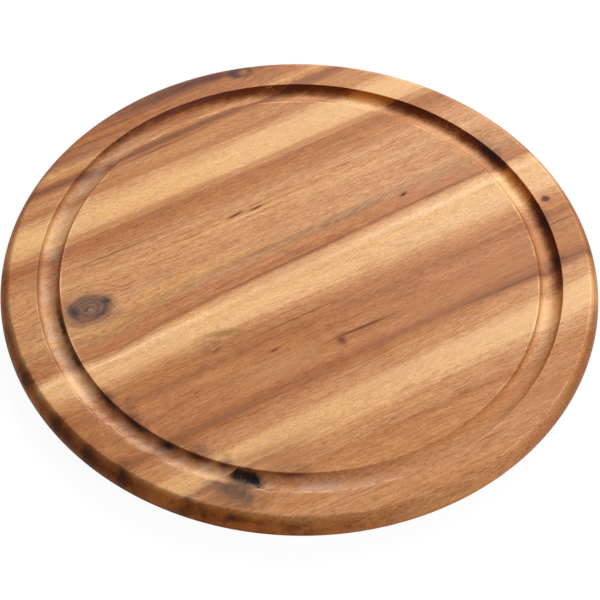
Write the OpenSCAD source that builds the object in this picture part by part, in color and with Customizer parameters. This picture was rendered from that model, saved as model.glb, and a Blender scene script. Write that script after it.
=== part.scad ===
// Round pizza serving board, glued up from five solid acacia staves.
// The staves run along X. The origin is the centre of the underside, and +Z is up.
// The board is one turned section, sliced where the staves meet at their glue lines.

/* [Board] */
// Diameter of the finished board
board_diameter = 320; // [290:1:400]
// Thickness of the finished board
board_thickness = 16; // [12:0.5:24]

/* [Rounded edge] */
// How far the rounded edge reaches in from the rim, on the top and on the underside
edge_reach = 5; // [2:0.1:6]
// Radius that eases the crease between the rounded edge and the flat faces
crease_radius = 1.5; // [0.5:0.1:3]

/* [Juice groove] */
// Width of the rim, from the board's outermost edge to the outer lip of the groove
rim_width = 19.5; // [14:0.5:40]
// Width of the groove from lip to lip
groove_width = 12.4; // [9:0.1:20]
// Depth of the groove below the serving face
groove_depth = 3.7; // [2:0.1:4.4]
// How far the lips of the groove are eased, along the face and down into the groove
lip_ease = 0.4; // [0.1:0.1:1]

/* [Staves] */
// How far the middle of the three inner staves lies behind the centre of the board
glue_up_offset = 16.5; // [-25:0.5:25]
// Width of the narrow stave
narrow_stave_width = 44; // [30:1:52]
// Width of the stave with the large knot
knot_stave_width = 80; // [60:1:100]
// Width of the widest stave
wide_stave_width = 92; // [70:1:110]
// Thickness of the glue film in each joint
glue_thickness = 0.15; // [0.05:0.05:0.3]

/* [Hidden] */
$fn = 180;

board_radius = board_diameter / 2;
half_thickness = board_thickness / 2;

// The edge is one arc from crease to crease, outermost at half the thickness
edge_arc_radius = (edge_reach ^ 2 + half_thickness ^ 2) / (2 * edge_reach);
edge_arc_centre = board_radius - edge_arc_radius;

// The easing circle touches the flat face from below and the edge arc from inside
crease_centre = [
    edge_arc_centre + sqrt((edge_arc_radius - crease_radius) ^ 2 - (half_thickness - crease_radius) ^ 2),
    board_thickness - crease_radius
];
crease_lean = atan2(half_thickness - crease_radius, crease_centre.x - edge_arc_centre);

// The groove is a cove: a circle above the face that dips to the groove's depth
cove_radius = (groove_width ^ 2 / 4 + groove_depth ^ 2) / (2 * groove_depth);
cove_rise = cove_radius - groove_depth;
groove_middle = board_radius - rim_width - groove_width / 2;

// The easing of a lip runs from the flat face down to the wall of the cove
ease_top = [groove_width / 2 + lip_ease, 0];
ease_foot = [sqrt(cove_radius ^ 2 - (cove_rise + lip_ease) ^ 2), -lip_ease];

// Middles of the glue lines. The three inner staves are centred on the glue-up's offset,
// and the two edge staves take what is left of the round on either side.
inner_staves_width = narrow_stave_width + knot_stave_width + wide_stave_width + 3 * glue_thickness;
joint_1_2 = glue_up_offset + inner_staves_width / 2;
joint_2_3 = joint_1_2 - narrow_stave_width - glue_thickness;
joint_3_4 = joint_2_3 - knot_stave_width - glue_thickness;
joint_4_5 = joint_3_4 - wide_stave_width - glue_thickness;

// How far the slicing slabs stand clear of the board
slab_margin = 2;

// Corner piece that rounds the crease at the top of the edge
module crease_easing() {
    edge_touch = crease_centre + crease_radius * [cos(crease_lean), sin(crease_lean)];
    corner = crease_centre + crease_radius * [tan(45 - crease_lean / 2), 1];
    difference() {
        polygon([crease_centre, edge_touch, corner, [crease_centre.x, board_thickness]]);
        translate(crease_centre) circle(crease_radius);
    }
}

// Corner piece that takes the arris off one lip, drawn from the middle of the groove.
// It runs past the face and the cove, so that both are trimmed by the same straight line.
module lip_easing() {
    run = ease_top - ease_foot;
    polygon([ease_foot - run, ease_top + run, [ease_foot.x, ease_top.y + run.y]]);
}

// The cove with both of its lips eased, drawn from the middle of the groove
module groove_section() {
    translate([0, cove_rise]) circle(cove_radius);
    lip_easing();
    mirror([1, 0]) lip_easing();
}

// Half section of the board before the groove is cut
module blank_section() {
    difference() {
        union() {
            square([edge_arc_centre, board_thickness]);
            intersection() {
                translate([edge_arc_centre, half_thickness]) circle(edge_arc_radius);
                translate([edge_arc_centre, 0]) square([edge_arc_radius, board_thickness]);
            }
        }
        crease_easing();
        translate([0, board_thickness]) mirror([0, 1]) crease_easing();
    }
}

// Half section of the finished board
module board_section() {
    difference() {
        blank_section();
        translate([groove_middle, board_thickness]) groove_section();
    }
}

// The part of the finished board that lies between two distances from its centre line
module slice(front, back) {
    intersection() {
        rotate_extrude() board_section();
        translate([-board_radius - slab_margin, front, -slab_margin])
            cube([board_diameter + 2 * slab_margin, back - front, board_thickness + 2 * slab_margin]);
    }
}

// A stave fills the space between the glue lines on its two sides
module stave(front_joint, back_joint) {
    slice(front_joint + glue_thickness / 2, back_joint - glue_thickness / 2);
}

// A glue film fills its joint from face to face
module glue_line(joint) {
    slice(joint - glue_thickness / 2, joint + glue_thickness / 2);
}

module stave_1_back_edge() {
    color([0.72, 0.47, 0.30]) slice(joint_1_2 + glue_thickness / 2, board_radius + slab_margin);
}

module stave_2_narrow() {
    color([0.84, 0.63, 0.42]) stave(joint_2_3, joint_1_2);
}

module stave_3_knot() {
    color([0.76, 0.54, 0.37]) stave(joint_3_4, joint_2_3);
}

module stave_4_wide() {
    color([0.75, 0.52, 0.34]) stave(joint_4_5, joint_3_4);
}

module stave_5_front_edge() {
    color([0.70, 0.46, 0.31]) slice(-board_radius - slab_margin, joint_4_5 - glue_thickness / 2);
}

module glue_line_1_2() {
    color([0.36, 0.24, 0.16]) glue_line(joint_1_2);
}

module glue_line_2_3() {
    color([0.36, 0.24, 0.16]) glue_line(joint_2_3);
}

module glue_line_3_4() {
    color([0.36, 0.24, 0.16]) glue_line(joint_3_4);
}

module glue_line_4_5() {
    color([0.36, 0.24, 0.16]) glue_line(joint_4_5);
}

stave_1_back_edge();
stave_2_narrow();
stave_3_knot();
stave_4_wide();
stave_5_front_edge();
glue_line_1_2();
glue_line_2_3();
glue_line_3_4();
glue_line_4_5();
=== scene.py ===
"""Looks of a round serving board, glued up from five acacia staves.

Every stave and every glue film is sliced from one turned blank, as the real board is turned
after its glue-up. Lengths are metres where they shape a mesh, and millimetres where they
place a figure in the wood.
"""

import logging
import math
from dataclasses import dataclass, replace
from enum import Enum
from typing import NamedTuple

import bpy
from mathutils import Matrix, Vector


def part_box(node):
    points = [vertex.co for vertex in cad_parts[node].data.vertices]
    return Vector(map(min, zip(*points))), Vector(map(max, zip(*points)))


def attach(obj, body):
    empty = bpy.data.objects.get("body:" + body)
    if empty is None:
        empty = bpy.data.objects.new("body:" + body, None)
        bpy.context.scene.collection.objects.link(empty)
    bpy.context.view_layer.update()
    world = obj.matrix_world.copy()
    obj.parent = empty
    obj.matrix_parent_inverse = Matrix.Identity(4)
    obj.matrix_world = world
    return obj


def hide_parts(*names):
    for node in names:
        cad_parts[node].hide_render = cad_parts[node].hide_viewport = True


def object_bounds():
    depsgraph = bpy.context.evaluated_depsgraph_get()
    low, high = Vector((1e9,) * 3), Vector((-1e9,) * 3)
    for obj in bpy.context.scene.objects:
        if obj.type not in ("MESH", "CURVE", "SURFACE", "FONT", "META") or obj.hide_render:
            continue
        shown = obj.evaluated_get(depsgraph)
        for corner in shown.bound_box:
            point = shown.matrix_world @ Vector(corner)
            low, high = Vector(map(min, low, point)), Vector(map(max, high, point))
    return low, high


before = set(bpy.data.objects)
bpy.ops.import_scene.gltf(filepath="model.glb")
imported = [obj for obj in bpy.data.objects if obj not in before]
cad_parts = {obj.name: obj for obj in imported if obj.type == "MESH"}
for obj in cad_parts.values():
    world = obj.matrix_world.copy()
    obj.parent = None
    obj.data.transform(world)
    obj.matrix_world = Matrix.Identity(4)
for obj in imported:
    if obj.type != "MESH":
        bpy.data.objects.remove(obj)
cad_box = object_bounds()

log = logging.getLogger("serving_board")

MM_PER_METRE = 1000.0
NOISE_MIDDLE = 0.5
SEED_SHARES = (1.0, 1.7, 2.3)

Socket = bpy.types.NodeSocket
Feed = Socket | float | tuple[float, ...]
Rgba = tuple[float, float, float, float]


class Slot(Enum):
    """Material slots of the part's record."""

    HEARTWOOD = "acacia_heartwood"
    BANDED = "acacia_sapwood_banded"
    GLUE = "wood_glue"


class Blend(Enum):
    """Ways to lay one colour over another, by Blender's names."""

    COVER = "MIX"
    STAIN = "MULTIPLY"


class Tone(Enum):
    """Colours found in the wood and the studio, as sRGB levels from 0 to 255."""

    CREAM = (246, 204, 154)
    SAP = (226, 180, 127)
    SAP_SHADE = (222, 175, 124)
    STRAW = (208, 158, 110)
    HONEY = (200, 149, 103)
    TAN = (194, 139, 93)
    CARAMEL = (186, 129, 82)
    RUSSET = (178, 119, 74)
    UMBER = (167, 109, 67)
    ROSE = (190, 132, 91)
    GREIGE = (188, 143, 102)
    OCHRE = (253, 251, 236)
    BLUSH = (240, 197, 151)
    # Grey of the painted sheen.
    SHEEN_GREY = (192, 168, 150)
    OLIVE = (142, 98, 56)
    SIENNA = (160, 92, 54)
    PLUM = (142, 90, 58)
    BARK = (108, 66, 42)
    KNOT_PALE = (110, 77, 64)
    KNOT_FLESH = (100, 72, 62)
    SMEAR = (106, 76, 58)
    KNOT_GREY = (60, 44, 42)
    KNOT_PURPLE = (78, 36, 32)
    KNOT_ORANGE = (182, 118, 66)
    KNOT_BROWN = (76, 30, 8)
    CHECK = (112, 56, 18)
    TAR = (46, 24, 16)
    INK = (14, 8, 8)
    AMBER = (196, 126, 54)
    RUST = (192, 112, 50)
    GLUE = (104, 68, 46)
    STREAK = (206, 172, 146)
    PORE = (160, 122, 96)
    # Tones of the oiled steep faces: painted shade on faces turned from the lamps, painted light
    # on faces towards them.
    OILED_IN_SHADE = (217, 184, 146)
    OILED_IN_LIGHT = (196, 180, 160)
    # Painted shade on the groove's outer wall, over tear-out, in heartwood and in sapwood.
    TORN_SHADE = (144, 100, 66)
    TORN_SHADE_SAP = (224, 178, 116)
    # Pale of the painted sheen on the outer wall, partly raised fibres.
    FUZZ_AND_SHEEN = (232, 196, 162)
    FLOOR = (206, 184, 160)

    def linear(self, opacity: float = 1.0) -> Rgba:
        """The tone as linear light, with an opacity."""
        red, green, blue = (linear_light(level / 255.0) for level in self.value)
        return (red, green, blue, opacity)


def linear_light(level: float) -> float:
    """Turns one sRGB level from 0 to 1 into linear light."""
    return level / 12.92 if level <= 0.04045 else ((level + 0.055) / 1.055) ** 2.4


class Step(NamedTuple):
    """A smooth step over a value.

    Attributes:
        start: Value at which the step begins.
        end: Value at which it is complete.
        low: Result before the step.
        high: Result after it.
    """

    start: float
    end: float
    low: float = 0.0
    high: float = 1.0

    def around(self, value: float) -> "Step":
        """Gives the same step, with a value added to its results."""
        return self._replace(low=value + self.low, high=value + self.high)


@dataclass(frozen=True)
class Cloud:
    """An uneven noise in the wood.

    Attributes:
        spans: Length of one swell along X, Y and Z, in millimetres.
        seed: Shift that makes it differ from the stave's other noises.
        step: Smooth step that is made of it.
        detail: Number of finer octaves.
        bent: Whether it follows the wandering grain.
    """

    spans: tuple[float, float, float]
    seed: float
    step: Step = Step(0.0, 1.0)
    detail: float = 2.0
    bent: bool = False

    def sized(self, size: float) -> "Cloud":
        """Gives the same noise, with its X and Y spans taken as shares of a size."""
        along, across, through = self.spans
        return replace(self, spans=(along * size, across * size, through))


@dataclass(frozen=True)
class Arris:
    """A ridge round the board with a pale line along it: a painted highlight, partly worn pale.

    Attributes:
        radius: Its distance from the middle, in millimetres.
        half_width: Half the width of the pale line.
        back_highlight_and_wear: How strong the pale line is at the back.
        front_highlight_and_wear: How strong it is at the front.
    """

    radius: float
    half_width: float
    back_highlight_and_wear: float
    front_highlight_and_wear: float


# Round the turned board, in millimetres from its middle or its underside.
BOARD_TOP = 16.0
GROOVE, GROOVE_HALF = 134.3, 5.5
# Band of painted sheen, partly raised fibres, on the groove's outer wall.
FUZZ_AND_SHEEN_WALL, FUZZ_AND_SHEEN_HALF = 139.3, 1.5
# Painted shade on the groove's outer wall, over tear-out: where it lies, its lip and its ragged
# edge.
TORN_SHADE_WALL = Step(133.2, 138.6)
TORN_SHADE_LIP = Step(140.6, 140.9, 1.0, 0.0)
TORN_SHADE_RAGGEDNESS = 4.0
OUTSIDE = Step(148.0, 149.0)
UPPER_SIDE = Step(7.0, 10.0)
DULL_BELOW = Step(3.0, 9.0, 0.45, 0.0)
STAINED_BELOW = Step(15.5, 12.5)
# Pale lines along the groove's lips and the edge's crease: painted highlights, partly worn pale.
ARRISES = (
    Arris(127.70, half_width=0.42, back_highlight_and_wear=1.5, front_highlight_and_wear=0.15),
    Arris(140.75, half_width=0.28, back_highlight_and_wear=0.5, front_highlight_and_wear=0.5),
    Arris(155.40, half_width=0.28, back_highlight_and_wear=0.8, front_highlight_and_wear=0.8),
)

# Along the grain, in millimetres from the middle.
# Painted grey sheen: over one end, and mottled in the groove towards the other.
SHEEN_END = Step(-30.0, 120.0, 0.0, 0.16)
MOTTLED_END = Step(10.0, -80.0)
# Shifts the ragged edge of the painted shade on the outer wall along the grain.
DEEPER_TEAR_AND_SHADE = Step(60.0, -20.0, 0.0, 2.2)

# By direction: 1 straight towards it, and -1 straight away from it.
# Bearing of the key lamp: painted shade lies on the outer wall on this side, and painted sheen
# across from it.
KEY_BEARING = math.radians(39.0)
TORN_SHADE_SIDE = Step(0.0, 0.45)
SHEEN_BLOOM_SIDE = Step(-0.55, -0.90)
FRONT_BEARING = math.radians(239.0)
FRONT_SIDE = Step(0.25, 0.75)
LEFT_FACING = Step(0.25, -0.25)
STAINED_LEFT = Step(0.0, 1.0, 0.25, 1.0)
END_GRAIN = Step(0.08, 0.62, 0.06, 1.0)
STEEP = Step(0.92, 0.55)
STEEPER_OUTSIDE = -0.08

# By the brightness of the wood, from 0 to 1.
STREAKS_ON_PALE = Step(0.32, 0.50, 1.0, 0.5)
LINES_ON_PALE = Step(0.28, 0.46, 1.0, 0.4)
SHEEN_ON_PALE = Step(0.28, 0.38, 0.3, 1.0)
TORN_SHADE_ON_PALE = Step(0.30, 0.44)
HIGHLIGHT_AND_WEAR_ON_PALE = Step(0.14, 0.28)

# Noises in the wood, from the wandering of its grain to the ragged edge of the painted shade in
# the groove.
WANDER = Cloud((190.0, 42.0, 42.0), 0.0)
RIPPLE = Cloud((58.0, 12.0, 12.0), 3.0)
STREAKS = (
    Cloud((320.0, 8.0, 8.0), 7.0, Step(0.36, 0.66, 0.20, 0.0), bent=True),
    Cloud((120.0, 2.8, 2.8), 12.0, Step(0.38, 0.66, 0.17, 0.0), bent=True),
    Cloud((26.0, 1.0, 1.0), 17.0, Step(0.34, 0.64, 0.15, 0.0), bent=True),
    Cloud((5.5, 0.55, 0.55), 22.0, Step(0.32, 0.66, 0.55, 0.0), bent=True),
)
GROWTH = Cloud((260.0, 10.0, 10.0), 23.0, bent=True)
THREADS = Cloud((24.0, 0.7, 0.7), 27.0, Step(0.60, 0.68), detail=1.0, bent=True)
LINED = Cloud((150.0, 14.0, 14.0), 29.0, Step(0.40, 0.62, 0.15, 0.75), bent=True)
PORES = Cloud((3.5, 0.36, 0.36), 31.0, Step(0.62, 0.70), detail=1.0, bent=True)
GLEAM = Cloud((70.0, 0.8, 0.8), 35.0, Step(0.62, 0.72, 0.0, 0.12), detail=1.0, bent=True)
SHIMMER = Cloud((16.0, 7.0, 7.0), 37.0, Step(0.3, 0.7, 1.08, 1.16), detail=1.0)
SPECKLE = Cloud((1.3, 0.8, 0.8), 39.0, Step(0.3, 0.7, 0.90, 1.10))
GRIT = Cloud((9.0, 0.7, 0.7), 41.0, Step(0.30, 0.62, 0.65, 1.1))
DRIFT = Cloud((110.0, 9.0, 9.0), 43.0, Step(0.42, 0.62), bent=True)
FRAY = Cloud((5.0, 4.0, 4.0), 45.0, Step(0.30, 0.68, 0.80, 1.90), detail=3.0)
MOTTLING = Cloud((9.0, 5.0, 5.0), 47.0, Step(0.38, 0.64, 0.05, 0.42))
KNOT_GRIT = Cloud((1.4, 1.4, 6.0), 67.0)
KNOT_OUTLINE = Cloud((1.1, 0.7, 30.0), 61.0, detail=3.0)
KNOT_EDDY = Cloud((0.35, 0.25, 12.0), 63.0)
HIGHLIGHT_AND_WEAR_PATCHES = Cloud((14.0, 14.0, 14.0), 71.0, Step(0.38, 0.64, 0.0, 0.50))
SHEEN_BLOOM = Cloud((5.0, 3.0, 3.0), 73.0, Step(0.36, 0.62, 0.10, 0.75), detail=3.0)
BLOTCHES = Cloud((11.0, 7.0, 8.0), 83.0, Step(0.46, 0.66, 0.0, 0.60), detail=4.0)
GOLD = Cloud((12.0, 9.0, 9.0), 85.0, Step(0.46, 0.64, 0.0, 0.45), detail=3.0)
RAGS = Cloud((7.0, 4.0, 4.0), 91.0, detail=3.0)
GLUE_DUST = Cloud((9.0, 1.0, 1.5), 5.0, Step(0.35, 0.65))

# Growth lines and pores.
LINES_PER_SWELL = 9.0
GROWTH_LINE = Step(0.0, 0.30, 0.4, 0.0)
PORE_DARKNESS, PORE_DEPTH = 0.50, -0.6

# Feathers and knots. A knot's shares are of its half length and half width.
FEATHER_THROUGH, FEATHER_SEED = 9.0, 53.0
FEATHER_STROKE = Step(0.46, 0.60, 0.12)
EDDY_LENGTH, EDDY_WIDTH = 1.7, 2.3
KNOT_WOBBLE, KNOT_FRAY = 0.58, 0.22
KNOT_SHARE = 0.65
RING_TWIST, RING_SHADE = 7.0, 0.98

# Gloss and bump. A sheen is added to the roughness, by the height of the surface.
# A bump is a strength and a depth in metres.
SPECULAR_LEVEL = 0.09
WOOD_SHEEN = Step(0.2, 0.9, 0.10, -0.04)
GLUE_SHEEN = Step(0.3, 0.7, -0.08, 0.08)
WOOD_BUMP = (0.5, 0.00012)
GLUE_BUMP = (0.3, 0.00008)


@dataclass
class NodeWeaver:
    """Adds nodes to one node tree and joins them up."""

    tree: bpy.types.NodeTree

    def feed(self, socket: Socket, value: Feed) -> None:
        """Links a socket to another node's output, or sets its own value."""
        if isinstance(value, bpy.types.NodeSocket):
            self.tree.links.new(value, socket)
        else:
            socket.default_value = value

    def add(
        self, kind: str, inputs: dict[str, Feed] | None = None, **settings: object
    ) -> bpy.types.Node:
        """Adds one node.

        Args:
            kind: Blender's name of the node type.
            inputs: Values or links for its inputs, by name.
            settings: Properties to set on the node itself.

        Returns:
            The new node.
        """
        node = self.tree.nodes.new(kind)
        for name, setting in settings.items():
            setattr(node, name, setting)
        for name, value in (inputs or {}).items():
            self.feed(node.inputs[name], value)
        return node

    def math(self, operation: str, *values: Feed) -> Socket:
        """Adds a Math node.

        Args:
            operation: Blender's name of the operation.
            values: Its operands, in order.

        Returns:
            The result's socket.
        """
        node = self.add("ShaderNodeMath", operation=operation)
        for socket, value in zip(node.inputs, values):
            self.feed(socket, value)
        return node.outputs["Value"]

    def minus(self, value: Feed, less: Feed) -> Socket:
        """Takes one value from another."""
        return self.math("SUBTRACT", value, less)

    def product(self, first: Feed, *others: Feed) -> Feed:
        """Multiplies values together, one after another."""
        for other in others:
            first = self.math("MULTIPLY", first, other)
        return first

    def sway(self, value: Feed, noise: Socket, span: float) -> Socket:
        """Shifts a value to and fro by a noise, over a span in all."""
        return self.math("MULTIPLY_ADD", self.minus(noise, NOISE_MIDDLE), span, value)

    def scale(self, vector: Socket, amount: Feed) -> Socket:
        """Multiplies a vector or a colour by an amount."""
        node = self.add("ShaderNodeVectorMath", {"Scale": amount}, operation="SCALE")
        self.feed(node.inputs[0], vector)
        return node.outputs["Vector"]

    def paleness(self, colour: Socket) -> Socket:
        """Tells how bright a colour is."""
        return self.add("ShaderNodeRGBToBW", {"Color": colour}).outputs["Val"]

    def place(self) -> Socket:
        """Tells where a point lies in the board, in millimetres."""
        return self.scale(self.add("ShaderNodeTexCoord").outputs["Object"], MM_PER_METRE)

    def noise(
        self, place: Socket, spans: tuple[float, float, float], seed: float, detail: float = 2.0
    ) -> Socket:
        """Adds a noise that is stretched along the grain.

        Args:
            place: Place in the wood, in millimetres.
            spans: Length of one swell of the noise along X, Y and Z, in millimetres.
            seed: Shift that makes this noise differ from the others.
            detail: Number of finer octaves.

        Returns:
            A socket that runs from 0 to 1.
        """
        stretched = self.add("ShaderNodeVectorMath", operation="MULTIPLY_ADD")
        scales = tuple(1.0 / span for span in spans)
        shift = tuple(share * seed for share in SEED_SHARES)
        for socket, value in zip(stretched.inputs, (place, scales, shift)):
            self.feed(socket, value)
        noise = self.add(
            "ShaderNodeTexNoise",
            {"Vector": stretched.outputs["Vector"], "Scale": 1.0, "Detail": detail},
        )
        return noise.outputs["Fac"]

    def fade(self, value: Feed, step: Step) -> Socket:
        """Adds a smooth step over a value."""
        names = ("From Min", "From Max", "To Min", "To Max")
        inputs = {"Value": value, **dict(zip(names, step))}
        node = self.add("ShaderNodeMapRange", inputs, interpolation_type="SMOOTHSTEP")
        return node.outputs["Result"]

    def ramp(self, value: Feed, stops: list[tuple[float, Rgba]]) -> bpy.types.Node:
        """Adds a colour ramp that eases from stop to stop.

        Args:
            value: What the ramp follows, from 0 to 1.
            stops: Positions and colours, in rising order.

        Returns:
            The ramp's node, with its Color and Alpha outputs.
        """
        node = self.add("ShaderNodeValToRGB", {"Fac": value})
        node.color_ramp.interpolation = "EASE"
        elements = node.color_ramp.elements
        elements.remove(elements[1])
        elements[0].position, elements[0].color = stops[0]
        for position, colour in stops[1:]:
            elements.new(position).color = colour
        return node

    def blend(
        self, amount: Feed, below: Feed, above: Feed, mode: Blend = Blend.COVER
    ) -> Socket:
        """Lays one colour over another.

        Args:
            amount: How much of the upper colour shows, from 0 to 1.
            below: The lower colour.
            above: The upper colour.
            mode: The way they blend.

        Returns:
            The blended colour's socket.
        """
        node = self.add(
            "ShaderNodeMix", data_type="RGBA", blend_type=mode.value, clamp_factor=True
        )
        # A Mix node has sockets for every type of data, and these are the colours'.
        factor, lower, upper = node.inputs[0], node.inputs[6], node.inputs[7]
        for socket, value in ((factor, amount), (lower, below), (upper, above)):
            self.feed(socket, value)
        return node.outputs[2]

    def bell(self, *offsets: tuple[Feed, float]) -> Socket:
        """Adds a bell curve over one or more distances.

        Args:
            offsets: Each distance from the bell's middle, with the bell's half width for it.

        Returns:
            A socket that is 1 in the middle and falls to 0 all round.
        """
        total: Feed = 0.0
        for distance, half in offsets:
            share = self.math("DIVIDE", distance, half)
            total = self.math("MULTIPLY_ADD", share, share, total)
        return self.math("EXPONENT", self.product(total, -1.0))

    def surface(
        self,
        output: bpy.types.Node,
        colour: Socket,
        roughness: Socket,
        relief: Socket,
        bump: tuple[float, float],
    ) -> None:
        """Ends a material in a dull surface with a fine relief.

        Args:
            output: The material's output node.
            colour: Colour of the surface.
            roughness: Its roughness.
            relief: Its height, from 0 to 1.
            bump: Strength and depth of the relief.
        """
        strength, depth = bump
        raised = self.add(
            "ShaderNodeBump", {"Strength": strength, "Distance": depth, "Height": relief}
        )
        shader = self.add(
            "ShaderNodeBsdfPrincipled",
            {
                "Base Color": colour,
                "Roughness": roughness,
                "Specular IOR Level": SPECULAR_LEVEL,
                "Normal": raised.outputs["Normal"],
            },
        )
        self.feed(output.inputs["Surface"], shader.outputs["BSDF"])


def new_material(name: str) -> tuple[bpy.types.Material, NodeWeaver, bpy.types.Node]:
    """Starts a material with an empty node tree.

    Args:
        name: Name of the material.

    Returns:
        The material, a weaver for its nodes, and its output node.
    """
    material = bpy.data.materials.new(name)
    material.use_nodes = True
    material.node_tree.nodes.clear()
    weaver = NodeWeaver(material.node_tree)
    return material, weaver, weaver.add("ShaderNodeOutputMaterial")


@dataclass(frozen=True)
class Band:
    """A growth band: where it lies across the board, and its tone."""

    across: float
    tone: Tone


@dataclass(frozen=True)
class Tilt:
    """A stretch of a stave whose grain runs at a small angle to the stave."""

    slope: float
    across: float
    reach: float


@dataclass(frozen=True)
class Spot:
    """A place in the wood: its middle along and across the board, and its half sizes."""

    along: float
    across: float
    half_length: float
    half_width: float


@dataclass(frozen=True)
class Mark(Spot):
    """A line, spot or stain that is darker or paler than the wood round it.

    A mark climbs across the grain by its slant, and curves by its bow. One with a height is a
    stain that lies at that level in the thickness, and the others go right through.
    """

    tone: Tone
    strength: float
    slant: float = 0.0
    bow: float = 0.0
    height: float | None = None
    half_height: float = 5.0


@dataclass(frozen=True)
class Knot(Spot):
    """A cut-through branch, with rings in it and the grain flowing round it."""

    core: Tone
    flesh: Tone
    rings: float
    push: float = 0.6
    contrast: float = 0.16
    cover: float = 1.0

    def stops(self) -> list[tuple[float, Rgba]]:
        """Gives the colours from the middle outwards, with how far they cover the wood."""
        tones = (
            (0.00, self.flesh, 0.85),
            (0.035, self.core, 0.85),
            (0.09, self.flesh, 0.90),
            (0.15, self.core, 0.86),
            (0.22, self.flesh, 0.92),
            (0.36, self.flesh, 0.92),
            (0.50, self.flesh, 0.86),
            (0.60, self.flesh, 0.60),
            (0.72, self.flesh, 0.22),
            (0.90, self.flesh, 0.0),
        )
        return [(position, tone.linear(opacity)) for position, tone, opacity in tones]


@dataclass(frozen=True)
class Feather(Spot):
    """A patch of slanting strokes, where the grain turned over a buried branch."""

    turn: float
    depth: float
    tone: Tone
    stroke: tuple[float, float]


@dataclass
class Grain:
    """Where a point lies in the grain of its stave.

    Attributes:
        place: Place in the board, in millimetres.
        bent: The same, with the wandering grain pulled straight.
        along: Distance along the grain.
        across: Distance across the grain.
        height: Height above the underside.
        radius: Distance from the middle of the board.
        flow: Distance across the grain after it has wandered and gone round the knots.
    """

    place: Socket
    bent: Socket
    along: Socket
    across: Socket
    height: Socket
    radius: Socket
    flow: Socket


@dataclass(frozen=True)
class AcaciaFinish:
    """Oiled acacia, with the figure of one stave.

    Attributes:
        name: Name of the material.
        seed: Shift of all the stave's noises.
        lean: How far the bands lean over for each millimetre of thickness.
        bands: Growth bands, in rising order across the board.
        knots: Cut-through branches.
        marks: Lines, spots and stains, each of which covers the ones before it.
        feathers: Patches of slanting strokes.
        tilt: Stretch where the grain runs at an angle.
        wander: How far the grain wanders in long swells, in millimetres.
        ripple: How far it wanders in short ones.
        roughness: Roughness of the oiled wood.
    """

    name: str
    seed: float
    lean: float
    bands: tuple[Band, ...]
    knots: tuple[Knot, ...] = ()
    marks: tuple[Mark, ...] = ()
    feathers: tuple[Feather, ...] = ()
    tilt: Tilt | None = None
    wander: float = 1.6
    ripple: float = 0.7
    roughness: float = 0.40

    def material(self) -> bpy.types.Material:
        """Paints the whole finish.

        Returns:
            The finished material.
        """
        material, weaver, output = new_material(self.name)
        painter = WoodPainter(self, weaver)
        relief = painter.lay_streaks()
        painter.lay_figure()
        painter.tear_and_shade_outer_wall()
        painter.oil_and_shade_steep_faces()
        painter.highlight_and_wear_arrises()
        weaver.surface(output, painter.colour, painter.roughness(relief), relief, WOOD_BUMP)
        return material


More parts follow.
